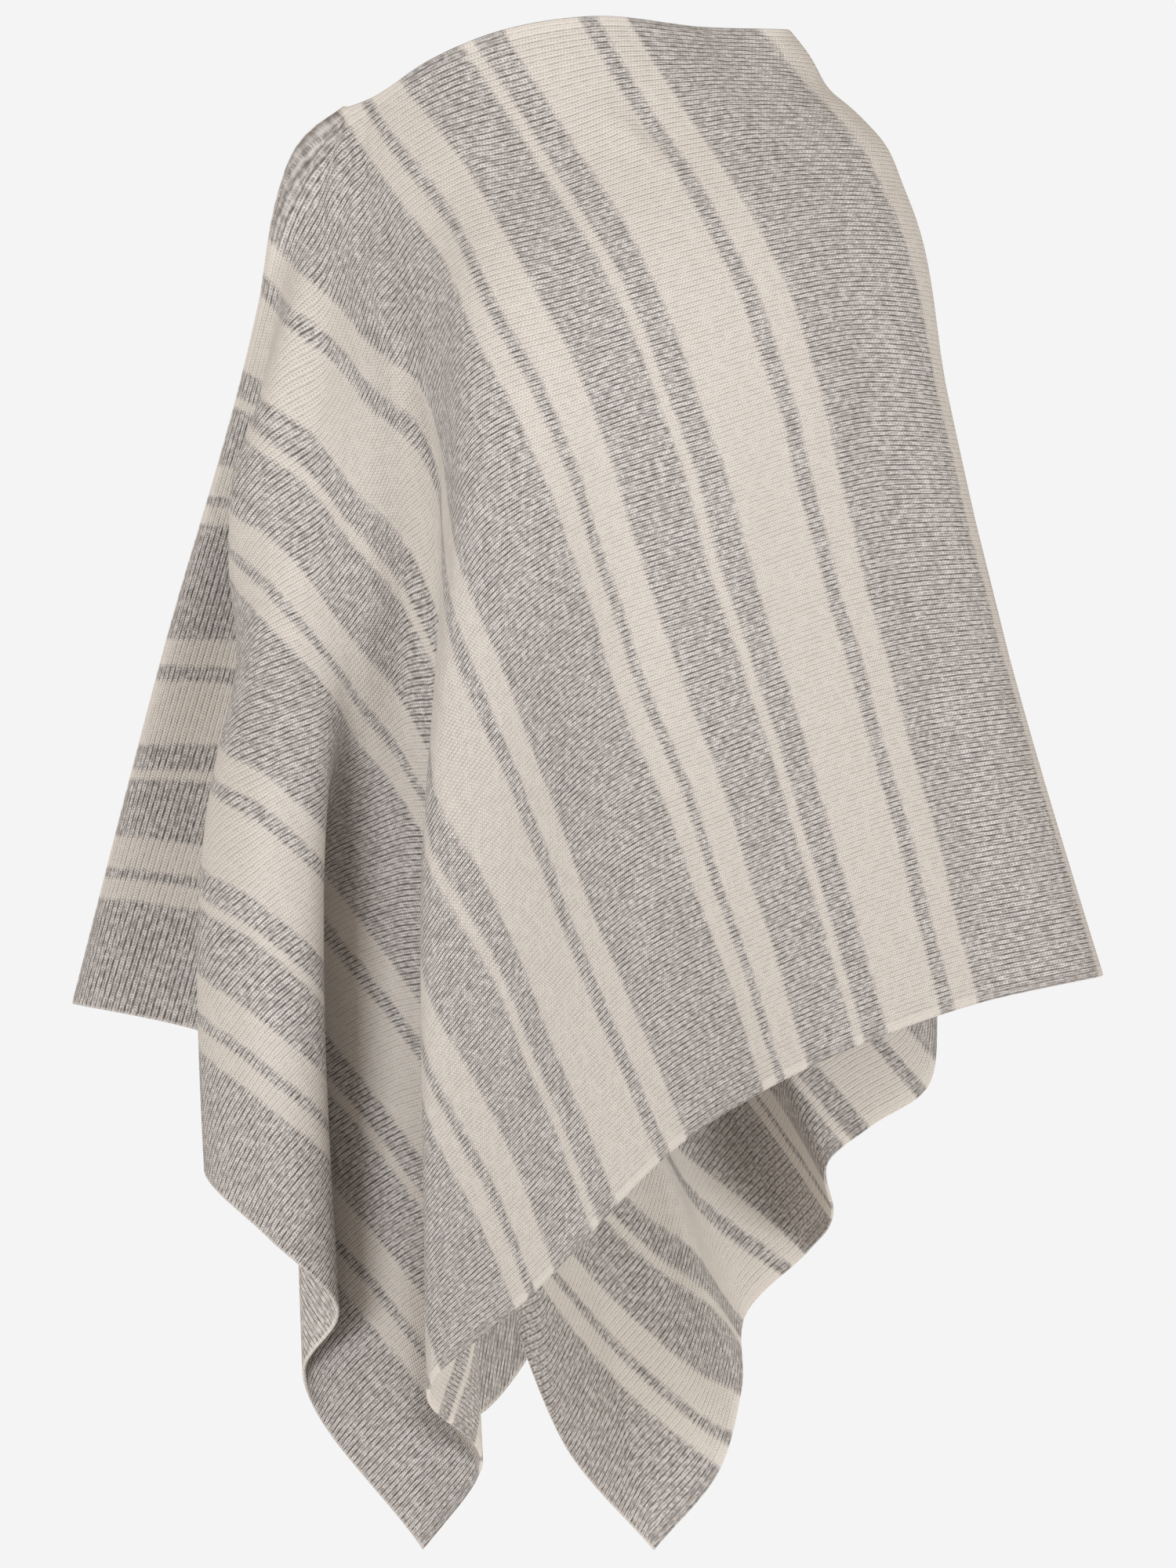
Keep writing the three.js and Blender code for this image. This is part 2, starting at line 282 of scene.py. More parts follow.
# The middle surface of one half as a grid of x, y, z, across, down. At the fold and the joined
# edge it runs straight from front to back, so both halves meet there smoothly.
def hangCloth(rows, form, outward, fractions):
    folds = np.array([foldPoints(row, form, fractions) for row in rows])
    lines = linesAcross(folds[:, -1, :3])
    isCorner = [row[2] == cut["across"] and row[3] == cut["down"] for row in rows]
    surface = np.zeros((len(lines), len(fractions), 5))
    for k, fraction in enumerate(fractions):
        points = folds[:, k]
        steps = np.linalg.norm(np.diff(points[:, :3], axis=0), axis=1)
        distances = np.concatenate([[0], np.cumsum(steps)])
        slopes, chords = slopesOf(points, distances)
        slopes[0, :3] = (0, outward, 0)
        slopes[-1, :3] = (0, -outward, 0)
        sharp = fraction ** cornerPower
        for column, (i, x) in enumerate(lines):
            leaving = slopes[i] + (chords[i] - slopes[i]) * sharp * isCorner[i]
            reaching = slopes[i + 1] + (chords[i] - slopes[i + 1]) * sharp * isCorner[i + 1]
            span = distances[i + 1] - distances[i]
            surface[column, k] = between(points[i], leaving, points[i + 1], reaching, span, x)
    return surface


# The direction straight out of the cloth at each place of the grid
def outwardOf(surface, outward):
    acrossStep = np.gradient(surface[..., :3], axis=0)
    acrossStep[0] = (0, outward, 0)
    acrossStep[-1] = (0, -outward, 0)
    downStep = np.gradient(surface[..., :3], axis=1)
    normal = np.cross(acrossStep, downStep) * -outward
    return normal / np.linalg.norm(normal, axis=2, keepdims=True)


# Soft creases, too small for the table of folds: from and to on the flat cloth, half width, and
# how far the cloth rises (or sinks) along the middle of the crease
creaseColumns = ("name", "start", "end", "width", "rise")
shoulderCreases = [  # across the fold or the joined edge, so both halves share them
    ("left shoulder hollow", (-0.040, 0.046), (0.040, 0.046), 0.018, -0.0050),
    ("left shoulder round", (-0.060, 0.105), (0.060, 0.105), 0.027, 0.0045),
    ("right shoulder round", (0.329, -0.070), (0.329, 0.070), 0.028, 0.0075),
]
frontCreases = shoulderCreases + [
    ("neck ripple", (0.262, 0.012), (0.232, 0.105), 0.010, 0.0030),
    ("chest pull", (0.162, 0.040), (0.134, 0.128), 0.009, 0.0040),
    ("chest hollow", (0.122, 0.050), (0.152, 0.118), 0.009, -0.0030),
    ("left chest wave", (0.070, 0.020), (0.088, 0.140), 0.014, 0.0025),
    ("right shoulder hollow", (0.300, 0.016), (0.345, 0.135), 0.012, -0.0035),
    ("right shoulder swell", (0.335, 0.024), (0.385, 0.165), 0.014, 0.0040),
    ("side drag", (0.372, 0.095), (0.420, 0.245), 0.012, -0.0040),
    ("elbow wave", (0.470, 0.030), (0.560, 0.120), 0.015, 0.0035),
    ("belly wave", (0.160, 0.200), (0.205, 0.530), 0.021, 0.0026),
    ("belly hollow", (0.240, 0.220), (0.325, 0.610), 0.024, -0.0030),
    ("low wave", (0.300, 0.450), (0.362, 0.720), 0.018, 0.0032),
    ("left arm hollow", (0.058, 0.150), (0.082, 0.430), 0.018, -0.0030),
    ("left hem wave", (0.050, 0.520), (0.064, 0.790), 0.017, 0.0028),
    ("ridge dent", (0.560, 0.360), (0.640, 0.640), 0.014, -0.0030),
    ("valley wave", (0.700, 0.330), (0.830, 0.560), 0.016, 0.0030),
    ("wrist hollow", (0.800, 0.080), (0.905, 0.300), 0.014, -0.0030),
    ("wrist wave", (0.700, 0.160), (0.780, 0.250), 0.012, 0.0025),
]
backCreases = shoulderCreases + [
    ("neck ripple", (0.215, 0.010), (0.240, 0.120), 0.011, 0.0030),
    ("nape pull", (0.150, 0.015), (0.128, 0.150), 0.012, -0.0035),
    ("left blade wave", (0.060, 0.060), (0.088, 0.220), 0.015, 0.0030),
    ("right blade hollow", (0.300, 0.020), (0.350, 0.160), 0.013, -0.0035),
    ("right blade swell", (0.345, 0.030), (0.410, 0.210), 0.016, 0.0040),
    ("elbow drag", (0.455, 0.040), (0.575, 0.150), 0.015, -0.0035),
    ("back hollow", (0.255, 0.210), (0.330, 0.560), 0.023, -0.0032),
    ("back wave", (0.170, 0.240), (0.225, 0.470), 0.019, 0.0028),
    ("hem wave", (0.420, 0.520), (0.470, 0.790), 0.018, 0.0030),
    ("left hem hollow", (0.080, 0.430), (0.102, 0.700), 0.016, -0.0026),
    ("side wave", (0.640, 0.120), (0.790, 0.300), 0.017, 0.0032),
    ("corner dent", (0.760, 0.430), (0.860, 0.640), 0.015, -0.0028),
]


def addCreases(surface, outward, creases):
    normal = outwardOf(surface, outward)
    flat = surface[..., 3:]
    rise = np.zeros(surface.shape[:2])
    for row in creases:
        crease = dict(zip(creaseColumns, row))
        start, end = np.array(crease["start"]), np.array(crease["end"])
        along = ((flat - start) @ (end - start)) / ((end - start) @ (end - start))
        nearest = start + np.clip(along, 0, 1)[..., None] * (end - start)
        away = np.linalg.norm(flat - nearest, axis=2) / crease["width"]
        fading = np.sin(np.pi * np.clip(along, 0, 1)) ** 2
        rise += crease["rise"] * fading * np.exp(-away * away)
    surface[..., :3] += normal * rise[..., None]


# The middle of the cream stripe along the fold lies a little in front of it near the neck
foldStripe = {"forward": 0.019, "reach": 0.045, "fading": 1.5}


def shiftFoldStripe(surface, outward):
    across, down = surface[..., 3].copy(), surface[..., 4]
    forward = foldStripe["forward"] * (1 - down / cut["down"]) ** foldStripe["fading"]
    surface[..., 3] += outward * forward * np.exp(-across / foldStripe["reach"])


# A smooth piece whose places on the flat cloth are kept as a UV map
def pieceWithFlatMap(name, vertices, faces, flat):
    mesh = bpy.data.meshes.new(name)
    mesh.from_pydata(vertices.tolist(), [], faces)
    mesh.polygons.foreach_set("use_smooth", [True] * len(mesh.polygons))
    flatMap = mesh.uv_layers.new(name="flat")
    corner = np.zeros(len(mesh.loops), int)
    mesh.loops.foreach_get("vertex_index", corner)
    flatMap.uv.foreach_set("vector", flat[corner].ravel())
    piece = bpy.data.objects.new(name, mesh)
    scene.collection.objects.link(piece)
    return piece


# A closed wall of cloth with rounded edges: outer face, inner face, and a cap at each end
def clothPiece(name, surface, outward, fullness):
    columns, rows = surface.shape[:2]
    reach = outwardOf(surface, outward) * (cut["thickness"] / 2 * fullness)[None, :, None]
    outer = surface[..., :3] + reach
    inner = surface[:, 1:-1, :3] - reach[:, 1:-1]
    vertices = np.vstack([outer.reshape(-1, 3), inner.reshape(-1, 3)])
    flat = np.vstack([surface[..., 3:].reshape(-1, 2), surface[:, 1:-1, 3:].reshape(-1, 2)])
    outerId = np.arange(columns * rows).reshape(columns, rows)
    innerId = outerId.copy()
    innerId[:, 1:-1] = columns * rows + np.arange(columns * (rows - 2)).reshape(columns, rows - 2)

    def quads(ids, turned):
        corners = [ids[:-1, :-1], ids[1:, :-1], ids[1:, 1:], ids[:-1, 1:]]
        if turned:
            corners.reverse()
        return np.stack(corners, axis=-1).reshape(-1, 4)

    def capAt(column, turned):
        a, b = outerId[column], innerId[column]
        faces = [[a[k], a[k + 1], b[k + 1], b[k]] for k in range(rows - 1)]
        faces = [[v for n, v in enumerate(face) if v not in face[:n]] for face in faces]
        return [face[::-1] if turned else face for face in faces]

    isBack = outward > 0
    outerFaces = quads(outerId, isBack).tolist()
    innerFaces = quads(innerId, not isBack).tolist()
    caps = capAt(0, isBack) + capAt(columns - 1, not isBack)
    piece = pieceWithFlatMap(name, vertices, outerFaces + innerFaces + caps, flat)
    sides = [0] * len(outerFaces) + [1] * len(innerFaces) + [0] * len(caps)
    piece.data.polygons.foreach_set("material_index", sides)
    endVertices = set(outerId[0]) | set(innerId[0]) | set(outerId[-1]) | set(innerId[-1])
    for edge in piece.data.edges:
        if edge.vertices[0] in endVertices and edge.vertices[1] in endVertices:
            edge.use_edge_sharp = True
    piece.data.validate()
    return piece


fractions, fullness = rowsDown()
frontSurface = hangCloth(frontFolds, neckForm["front"], -1, fractions)
backSurface = hangCloth(backFolds, neckForm["back"], 1, fractions)
for surface, outward, creases in ((frontSurface, -1, frontCreases), (backSurface, 1, backCreases)):
    addCreases(surface, outward, creases)
    shiftFoldStripe(surface, outward)
frontCloth = clothPiece("front_cloth", frontSurface, -1, fullness)
backCloth = clothPiece("back_cloth", backSurface, 1, fullness)
for piece, node in ((frontCloth, "front_panel"), (backCloth, "back_panel")):
    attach(piece, "root")
    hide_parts(node)
print("cloth:", len(frontCloth.data.polygons) + len(backCloth.data.polygons), "faces")


# The joined edge: one fine rounded row of linked stitches, sunk between the two halves
seam = {
    "radius": 0.0010,
    "sides": 10,
    "reach": 0.0009,  # how far its middle stands out of the fold line
    "down": 0.010,  # its colour is the cloth's this far below the top edge
    "taperRows": 8,  # it starts thin at the neck
    "thinnest": 0.1,
}


def seamPiece(name, surface):
    taper = np.clip(np.arange(surface.shape[1]) / seam["taperRows"], seam["thinnest"], 1)[:, None]
    middle = surface[-1, :, :3] + outwardOf(surface, -1)[-1] * seam["reach"] * taper
    along = np.gradient(middle, axis=0)
    along /= np.linalg.norm(along, axis=1, keepdims=True)
    sideways = np.cross(along, (0, 1, 0))
    sideways /= np.linalg.norm(sideways, axis=1, keepdims=True)
    upward = np.cross(sideways, along)
    turns = np.linspace(0, 2 * math.pi, seam["sides"], endpoint=False)
    ring = np.cos(turns)[None, :, None] * sideways[:, None]
    ring += np.sin(turns)[None, :, None] * upward[:, None]
    vertices = (middle[:, None] + ring * seam["radius"] * taper[:, None]).reshape(-1, 3)
    rows = len(middle)
    ids = np.arange(rows * seam["sides"]).reshape(rows, seam["sides"])
    beside = np.roll(ids, -1, axis=1)
    faces = np.stack([ids[:-1], ids[1:], beside[1:], beside[:-1]], axis=-1).reshape(-1, 4).tolist()
    faces += [ids[0].tolist(), ids[-1][::-1].tolist()]
    across = np.repeat(surface[-1, :, 3], seam["sides"])
    down = np.full(len(across), seam["down"])
    return pieceWithFlatMap(name, vertices, faces, np.stack([across, down], axis=1))


seamRow = seamPiece("seam_row", frontSurface)
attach(seamRow, "root")
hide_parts("joined_edge_seam")
print("seam:", len(seamRow.data.polygons), "faces")


# Shader helpers: a value may be a number or another node's socket
def feed(tree, socket, value):
    if isinstance(value, bpy.types.NodeSocket):
        tree.links.new(value, socket)
    else:
        socket.default_value = value


def calculate(tree, operation, *values):
    node = tree.nodes.new("ShaderNodeMath")
    node.operation = operation
    for socket, value in zip(node.inputs, values):
        feed(tree, socket, value)
    return node.outputs[0]


def ramped(tree, value, low, high, toLow=0.0, toHigh=1.0):
    node = tree.nodes.new("ShaderNodeMapRange")
    node.interpolation_type = "SMOOTHSTEP"
    for socket, given in zip(node.inputs, (value, low, high, toLow, toHigh)):
        feed(tree, socket, given)
    return node.outputs[0]


def together(tree, x, y, z=0.0):
    node = tree.nodes.new("ShaderNodeCombineXYZ")
    for socket, value in zip(node.inputs, (x, y, z)):
        feed(tree, socket, value)
    return node.outputs[0]


def blended(tree, amount, first, second, kind="MIX"):
    node = tree.nodes.new("ShaderNodeMix")
    node.data_type = "RGBA"
    node.blend_type = kind
    feed(tree, node.inputs["Factor"], amount)
    feed(tree, node.inputs[6], first)
    feed(tree, node.inputs[7], second)
    return node.outputs[2]


def noise(tree, place, scale, detail=2.0, roughness=0.5):
    node = tree.nodes.new("ShaderNodeTexNoise")
    feed(tree, node.inputs["Vector"], place)
    node.inputs["Scale"].default_value = scale
    node.inputs["Detail"].default_value = detail
    node.inputs["Roughness"].default_value = roughness
    return node.outputs["Fac"]


def newGroup(name, inputs, outputs):
    tree = bpy.data.node_groups.new(name, "ShaderNodeTree")
    for label, value in inputs:
        socket = tree.interface.new_socket(label, in_out="INPUT", socket_type="NodeSocketFloat")
        socket.default_value = value
    for label in outputs:
        tree.interface.new_socket(label, in_out="OUTPUT", socket_type="NodeSocketFloat")
    entry = tree.nodes.new("NodeGroupInput")
    leave = tree.nodes.new("NodeGroupOutput")
    return tree, entry.outputs, leave.inputs


def useGroup(tree, group, values):
    node = tree.nodes.new("ShaderNodeGroup")
    node.node_tree = group
    for label, value in values.items():
        feed(tree, node.inputs[label], value)
    return node.outputs


# Stripes: one repeat, counted from the first cream stripe beyond the fold
stripes = {
    "firstAt": 0.104,
    "widths": [  # cream and grey in turn
        0.020, 0.011, 0.046, 0.019, 0.008, 0.044, 0.023, 0.008, 0.015, 0.091,
    ],
    "feather": 0.0009,  # how far one colour reaches into the other
    "wander": 0.005,  # how far an edge strays
    "wanderScale": 14.0,
}


def stripeRamp(tree, across):
    repeat = sum(stripes["widths"])
    beyond = calculate(tree, "SUBTRACT", across, stripes["firstAt"])
    share = calculate(tree, "DIVIDE", calculate(tree, "FLOORED_MODULO", beyond, repeat), repeat)
    ramp = tree.nodes.new("ShaderNodeValToRGB")
    ramp.color_ramp.interpolation = "CONSTANT"
    starts = np.concatenate([[0], np.cumsum(stripes["widths"])[:-1]]) / repeat
    marks = ramp.color_ramp.elements
    for index, start in enumerate(starts):
        mark = marks[index] if index < 2 else marks.new(start)
        mark.position = start
    for index, mark in enumerate(marks):
        mark.color = (1, 1, 1, 1) if index % 2 == 0 else (0, 0, 0, 1)
    feed(tree, ramp.inputs[0], share)
    return ramp.outputs[0]


def stripeGroup():
    tree, given, out = newGroup("stripe plan", [("Across", 0.0), ("Down", 0.0)], ["Cream"])
    drift = noise(tree, together(tree, given["Across"], given["Down"]), stripes["wanderScale"], 0.0, 0.4)
    drift = calculate(tree, "MULTIPLY", calculate(tree, "SUBTRACT", drift, 0.5), stripes["wander"])
    across = calculate(tree, "ABSOLUTE", calculate(tree, "ADD", given["Across"], drift))
    before = stripeRamp(tree, calculate(tree, "SUBTRACT", across, stripes["feather"]))
    after = stripeRamp(tree, calculate(tree, "ADD", across, stripes["feather"]))
    feed(tree, out["Cream"], calculate(tree, "MULTIPLY", calculate(tree, "ADD", before, after), 0.5))
    return tree


# Stitches: rows of links that run across the stripes, with a groove between rows and a small
# hole in each link
stitches = {
    "rowWidth": 0.0036,
    "linkLength": 0.0020,
    "lean": 0.55,  # how far the yarn slants from the middle of a row to its side, in links
    "groove": (0.54, 0.94),  # where it sinks in, from the middle of a row (0) to its side (1)
    "hole": (0.10, 0.34),
    "holeGap": (0.2, 0.6),  # how much of a link's ends the hole takes
    "rim": (0.15, 0.35, 0.45, 0.65),
    "dashPerLink": 0.33,  # a groove is deep for a few links, then shallow
    "dashPerRow": 7.3,
    "dashes": (0.36, 0.62),
    "shallow": 0.45,
    "linkSwell": 0.4,
    "holeDepth": 0.5,
    "jitter": 0.5,  # how unevenly links end at a stripe's edge, in links
}


def stitchGroup():
    tree, given, out = newGroup(
        "stitches",
        [("Across", 0.0), ("Down", 0.0), ("Row width", 1.0), ("Link length", 1.0), ("Lean", 0.0)],
        ["Height", "Groove", "Hole", "Rim", "Link across", "Chance"],
    )
    row = calculate(tree, "DIVIDE", given["Down"], given["Row width"])
    rowNumber = calculate(tree, "FLOOR", row)
    inRow = calculate(tree, "SUBTRACT", calculate(tree, "FRACT", row), 0.5)
    side = calculate(tree, "MULTIPLY", calculate(tree, "ABSOLUTE", inRow), 2.0)
    link = calculate(tree, "DIVIDE", given["Across"], given["Link length"])
    leaning = calculate(tree, "SUBTRACT", link, calculate(tree, "MULTIPLY", side, given["Lean"]))
    number = calculate(tree, "FLOOR", leaning)
    along = calculate(tree, "FRACT", leaning)
    swell = calculate(tree, "SINE", calculate(tree, "MULTIPLY", along, math.pi))
    dashAlong = calculate(tree, "MULTIPLY", link, stitches["dashPerLink"])
    dashDown = calculate(tree, "MULTIPLY", rowNumber, stitches["dashPerRow"])
    dashes = noise(tree, together(tree, dashAlong, dashDown), 1.0, 1.0, 0.6)
    dashes = ramped(tree, dashes, *stitches["dashes"], stitches["shallow"], 1.0)
    groove = calculate(tree, "MULTIPLY", ramped(tree, side, *stitches["groove"]), dashes)
    gap = calculate(tree, "SUBTRACT", 1.0, swell)
    nearMiddle = ramped(tree, side, *stitches["hole"], 1.0, 0.0)
    hole = calculate(tree, "MULTIPLY", nearMiddle, ramped(tree, gap, *stitches["holeGap"]))
    pastHole = ramped(tree, side, *stitches["rim"][:2])
    beforeGroove = ramped(tree, side, *stitches["rim"][2:], 1.0, 0.0)
    rim = calculate(tree, "MULTIPLY", pastHole, beforeGroove)
    body = calculate(tree, "MULTIPLY_ADD", swell, stitches["linkSwell"], 1.0 - stitches["linkSwell"])
    body = calculate(tree, "MULTIPLY_ADD", groove, -1.0, body)
    chance = tree.nodes.new("ShaderNodeTexWhiteNoise")
    chance.noise_dimensions = "2D"
    feed(tree, chance.inputs["Vector"], together(tree, number, rowNumber))
    feed(tree, out["Height"], calculate(tree, "MULTIPLY_ADD", hole, -stitches["holeDepth"], body))
    feed(tree, out["Groove"], groove)
    feed(tree, out["Hole"], hole)
    feed(tree, out["Rim"], rim)
    jitter = calculate(tree, "SUBTRACT", chance.outputs["Value"], 0.5)
    jitter = calculate(tree, "MULTIPLY", jitter, stitches["jitter"])
    slanted = calculate(tree, "ADD", leaning, jitter)
    feed(tree, out["Link across"], calculate(tree, "MULTIPLY", slanted, given["Link length"]))
    feed(tree, out["Chance"], chance.outputs["Value"])
    return tree


# Wool: dark and light fibres spun together, drawn out along the rows of links
wool = {
    "streakStretch": 0.28,  # across, so a streak is about four times as long as it is wide
    "streakScale": 620.0,
    "fibreScale": 1500.0,
    "patchScale": 40.0,
    "hueScale": 420.0,
    "chanceShare": 0.16,  # shares of what makes a place dark, next to the streaks
    "fibreShare": 0.3,
    "patchShare": 0.12,
    "dark": (0.61, 0.98, 0.0, 0.76),  # from, to, least and most
    "warm": (0.5, 0.75, 0.0, 0.45),
    "specks": (0.40, 0.68, 0.0, 0.50),  # fine darker fibres in the cream
    "roughShare": 0.5,
}


def woolGroup():
    tree, given, out = newGroup(
        "spun wool", [("Across", 0.0), ("Down", 0.0)], ["Streaks", "Fibres", "Patches", "Hue"]
    )
    drawnOut = calculate(tree, "MULTIPLY", given["Across"], wool["streakStretch"])
    streakPlace = together(tree, drawnOut, given["Down"])
    fibrePlace = together(tree, given["Across"], given["Down"])
    feed(tree, out["Streaks"], noise(tree, streakPlace, wool["streakScale"], 1.0, 0.6))
    feed(tree, out["Fibres"], noise(tree, fibrePlace, wool["fibreScale"], 2.0, 0.7))
    feed(tree, out["Patches"], noise(tree, fibrePlace, wool["patchScale"], 2.0, 0.5))
    feed(tree, out["Hue"], noise(tree, streakPlace, wool["hueScale"], 1.0, 0.5))
    return tree


stripePlan = stripeGroup()
stitchPlan = stitchGroup()
spunWool = woolGroup()

outsideKnit = {
    "cream": (0.755, 0.712, 0.668, 1),
    # one colour for the cream's darker fibre specks and for the painted shade in its grooves and holes
    "creamSpecksAndShade": (0.46, 0.40, 0.34, 1),
    "light": (0.71, 0.675, 0.65, 1),
    "dark": (0.215, 0.192, 0.178, 1),
    "warm": (0.50, 0.41, 0.40, 1),
    "shadow": (0.060, 0.048, 0.042, 1),
    # painted highlight colour on the raised rim of each grey link
    "rimHighlightColour": (0.80, 0.77, 0.74, 1),
    # painted shade strength in the grey's grooves between rows and in its link holes
    "greyGrooveShade": 0.88,
    "greyHoleShade": 0.48,
    # painted highlight strength on the link rims
    "greyRimHighlight": 0.32,
    # painted shade strength in the cream's grooves between rows and in its link holes
    "creamGrooveShade": 0.52,
    "creamHoleShade": 0.50,
    "bump": 0.0006,
}
# The reverse (purl) side: shallower grooves and holes, and tones painted lighter than the outside's so
# the inner faces seen in shade under the hem read brighter
reverseKnitPaintedLighter = dict(
    outsideKnit,
    cream=(0.94, 0.885, 0.82, 1),
    light=(0.80, 0.76, 0.725, 1),
    dark=(0.25, 0.225, 0.21, 1),
    greyGrooveShade=0.75,
    greyHoleShade=0.25,
    greyRimHighlight=0.20,
    creamGrooveShade=0.30,
    creamHoleShade=0.25,
    bump=0.0004,
)
edges = {
    "border": 0.0075,  # finer stitches along the top and the hem
    # how much of the grooves' and holes' painted shade the finer border stitches keep
    "borderGroove": 0.55,
    # painted shade: how far the grey along the top and hem is evenly darkened toward the shadow colour
    "borderShade": 0.22,
    "roll": 0.0026,  # pale rolled side edge
    "rollTone": 0.6,
}


felted = {  # dull, with a soft bloom of fibres
    "Roughness": 0.95,
    "Specular IOR Level": 0.15,
    "Sheen Weight": 0.18,
    "Sheen Roughness": 0.6,
    "Sheen Tint": (0.95, 0.92, 0.88, 1),
}


def knitMaterial(name, look):
    material = bpy.data.materials.new(name)
    material.use_nodes = True
    tree = material.node_tree
    shader = tree.nodes["Principled BSDF"]
    flatPlace = tree.nodes.new("ShaderNodeUVMap")
    flatPlace.uv_map = "flat"
    split = tree.nodes.new("ShaderNodeSeparateXYZ")
    feed(tree, split.inputs[0], flatPlace.outputs[0])
    across, down = split.outputs[0], split.outputs[1]
    stitch = useGroup(tree, stitchPlan, {
        "Across": across, "Down": down, "Row width": stitches["rowWidth"],
        "Link length": stitches["linkLength"], "Lean": stitches["lean"],
    })
    yarn = useGroup(tree, spunWool, {"Across": across, "Down": down})
    cream = useGroup(tree, stripePlan, {"Across": stitch["Link across"], "Down": down})["Cream"]

    fromTop = ramped(tree, down, edges["border"] * 0.9, edges["border"], 1.0, 0.0)
    fromHem = ramped(tree, down, cut["down"] - edges["border"], cut["down"] - edges["border"] * 0.9)
    border = calculate(tree, "MAXIMUM", fromTop, fromHem)
    roll = ramped(tree, across, cut["across"] - edges["roll"], cut["across"] - edges["roll"] * 0.5)
    # Along the top and hem the finer stitches keep only part of the painted groove and hole shade, and
    # the grey gets an even painted shade instead
    openness = calculate(tree, "MULTIPLY_ADD", border, edges["borderGroove"] - 1, 1.0)
    tone = calculate(tree, "MULTIPLY", border, edges["borderShade"])

    darkness = calculate(tree, "MULTIPLY_ADD", stitch["Chance"], wool["chanceShare"], yarn["Streaks"])
    darkness = calculate(tree, "MULTIPLY_ADD", yarn["Fibres"], wool["fibreShare"], darkness)
    darkness = calculate(tree, "MULTIPLY_ADD", yarn["Patches"], wool["patchShare"], darkness)
    grey = blended(tree, ramped(tree, darkness, *wool["dark"]), look["light"], look["dark"])
    grey = blended(tree, ramped(tree, yarn["Hue"], *wool["warm"]), grey, look["warm"])
    # Painted highlight: the rim of each link, where the yarn stands up, is lightened toward the
    # highlight colour
    rimHighlightAmount = calculate(tree, "MULTIPLY", stitch["Rim"], look["greyRimHighlight"])
    grey = blended(tree, rimHighlightAmount, grey, look["rimHighlightColour"])
    specks = ramped(tree, yarn["Fibres"], *wool["specks"])
    creamTone = blended(tree, specks, look["cream"], look["creamSpecksAndShade"])
    # Painted shade: the grooves between rows and the holes in the links darken the grey toward the
    # shadow colour
    greyPaintedShade = calculate(tree, "MULTIPLY", stitch["Hole"], look["greyHoleShade"])
    greyPaintedShade = calculate(tree, "MULTIPLY_ADD", stitch["Groove"], look["greyGrooveShade"], greyPaintedShade)
    greyPaintedShade = calculate(tree, "MULTIPLY_ADD", greyPaintedShade, openness, tone)
    # Painted shade: the same grooves and holes darken the cream toward its speck-and-shade colour
    creamPaintedShade = calculate(tree, "MULTIPLY", stitch["Hole"], look["creamHoleShade"])
    creamPaintedShade = calculate(tree, "MULTIPLY_ADD", stitch["Groove"], look["creamGrooveShade"], creamPaintedShade)
    creamPaintedShade = calculate(tree, "MULTIPLY", creamPaintedShade, openness)
    grey = blended(tree, greyPaintedShade, grey, look["shadow"])
    creamTone = blended(tree, creamPaintedShade, creamTone, look["creamSpecksAndShade"])
    colour = blended(tree, cream, grey, creamTone)
    colour = blended(tree, calculate(tree, "MULTIPLY", roll, edges["rollTone"]), colour, look["cream"])
    feed(tree, shader.inputs["Base Color"], colour)

    bump = tree.nodes.new("ShaderNodeBump")
    bump.inputs["Distance"].default_value = look["bump"]
    bump.inputs["Strength"].default_value = 1.0
    rough = calculate(tree, "MULTIPLY_ADD", yarn["Fibres"], wool["roughShare"], stitch["Height"])
    feed(tree, bump.inputs["Height"], calculate(tree, "MULTIPLY", rough, openness))
    feed(tree, shader.inputs["Normal"], bump.outputs[0])
    for socket, value in felted.items():
        shader.inputs[socket].default_value = value
    return material


outsideMaterial = knitMaterial("striped knit", outsideKnit)
reverseMaterial = knitMaterial("striped knit reverse", reverseKnitPaintedLighter)
for piece in (frontCloth, backCloth):
    piece.data.materials.append(outsideMaterial)
    piece.data.materials.append(reverseMaterial)
seamRow.data.materials.append(outsideMaterial)
print("knit materials: outside and reverse")


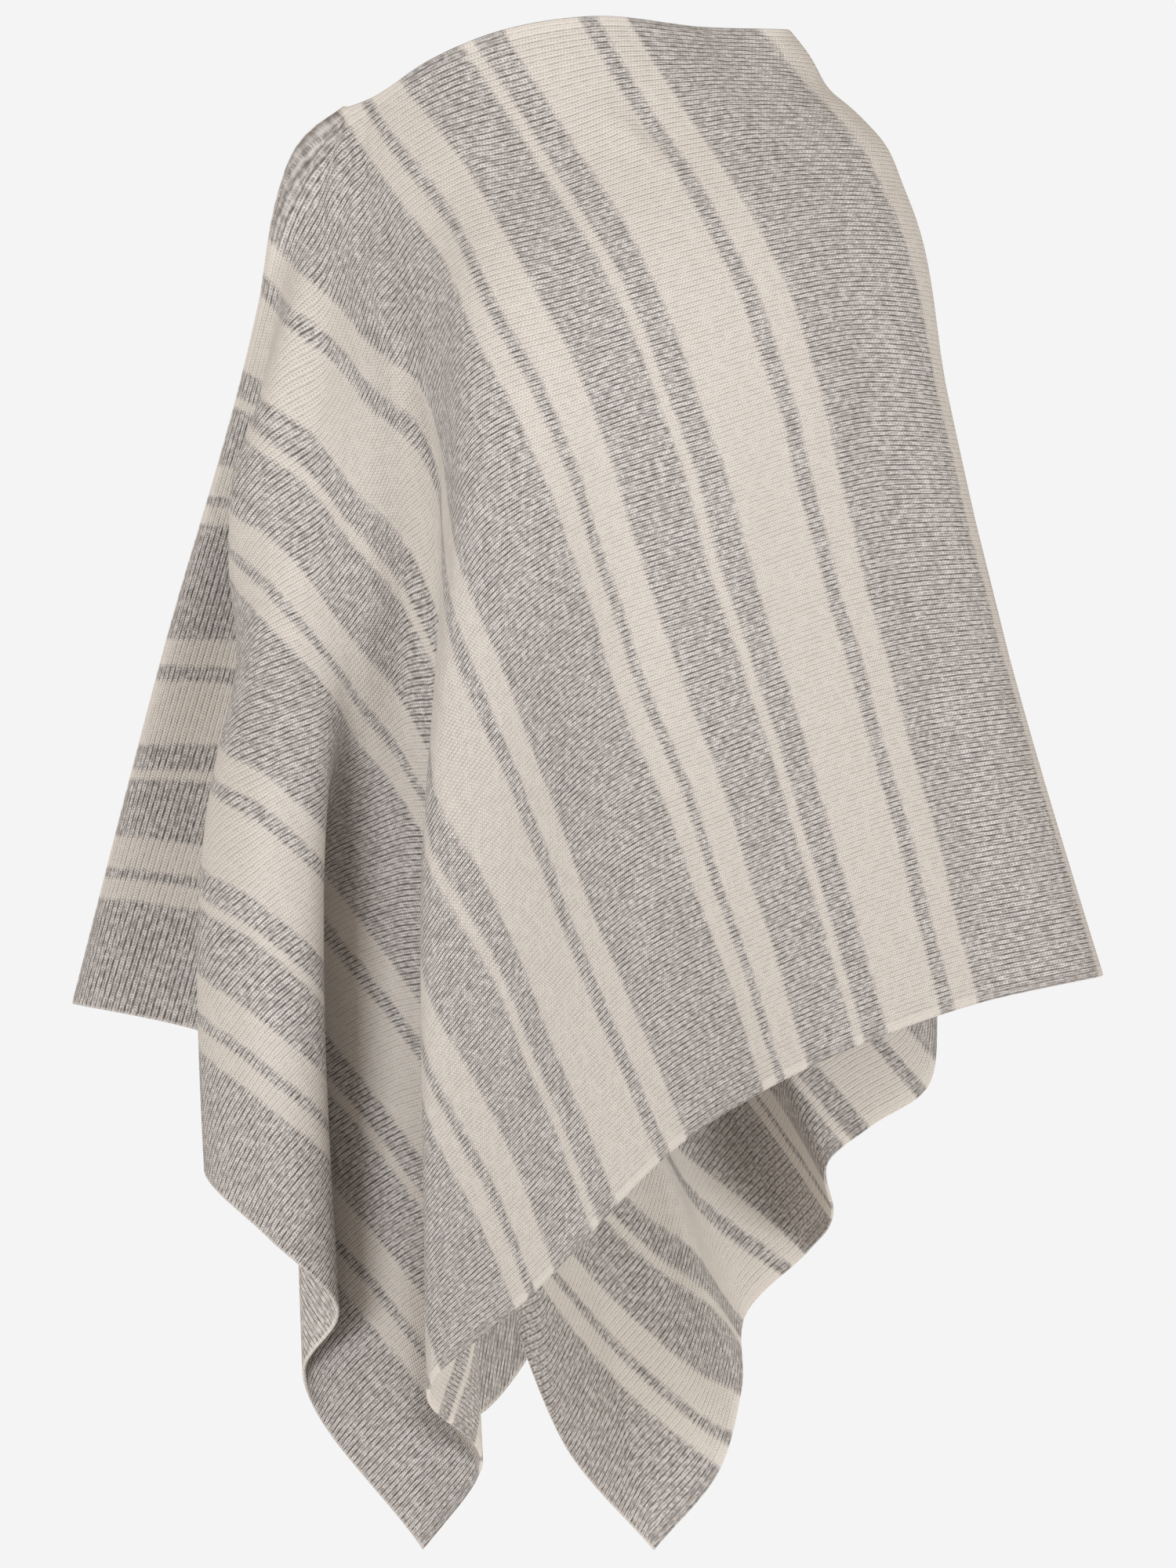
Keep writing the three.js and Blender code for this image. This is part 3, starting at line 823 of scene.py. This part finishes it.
# Studio: pale floor, even pale surroundings and large soft lights
studio = {
    "floorBelow": 1.38,  # where a wearer would stand
    "floorRadius": 4.0,
    "pale": (0.905, 0.905, 0.905, 1),
    "warm": (0.985, 0.89, 0.80, 1),
    "surroundings": 0.54,
    "daylight": (0.945, 0.975, 1.0),
    "lights": [  # name, place, aim, size, watts
        ("key", (-4.2, -5.8, -0.9), (0, 0, -0.6), 3.2, 292),
        ("fill", (4.9, -4.7, -1.2), (0, 0, -0.7), 3.2, 265),
        ("back", (-1.5, 6.8, -0.4), (0, 0, -0.5), 3.2, 270),
    ],
}


def addStudio():
    world = bpy.data.worlds.new("pale surroundings")
    scene.world = world
    world.use_nodes = True
    tree = world.node_tree
    background = tree.nodes["Background"]
    background.inputs["Color"].default_value = studio["warm"]
    background.inputs["Strength"].default_value = studio["surroundings"]
    seen = tree.nodes.new("ShaderNodeBackground")
    seen.inputs["Color"].default_value = studio["pale"]
    path = tree.nodes.new("ShaderNodeLightPath")
    mix = tree.nodes.new("ShaderNodeMixShader")
    tree.links.new(path.outputs["Is Camera Ray"], mix.inputs[0])
    tree.links.new(background.outputs[0], mix.inputs[1])
    tree.links.new(seen.outputs[0], mix.inputs[2])
    tree.links.new(mix.outputs[0], tree.nodes["World Output"].inputs[0])

    bpy.ops.mesh.primitive_circle_add(
        vertices=96,
        radius=studio["floorRadius"],
        fill_type="NGON",
        location=(0, 0, -studio["floorBelow"]),
    )
    floor = bpy.context.object
    floor.name = "pale_floor"
    material = bpy.data.materials.new("pale floor")
    material.use_nodes = True
    shader = material.node_tree.nodes["Principled BSDF"]
    shader.inputs["Base Color"].default_value = studio["pale"]
    shader.inputs["Roughness"].default_value = 0.9
    floor.data.materials.append(material)

    for name, place, aim, size, watts in studio["lights"]:
        data = bpy.data.lights.new(name, "AREA")
        data.size = size
        data.energy = watts
        data.color = studio["daylight"]
        light = bpy.data.objects.new(name, data)
        light.location = place
        light.visible_camera = False
        light.rotation_euler = (Vector(aim) - Vector(place)).to_track_quat("-Z", "Y").to_euler()
        scene.collection.objects.link(light)


addStudio()
scene.view_settings.view_transform = "Standard"
print("studio ready")
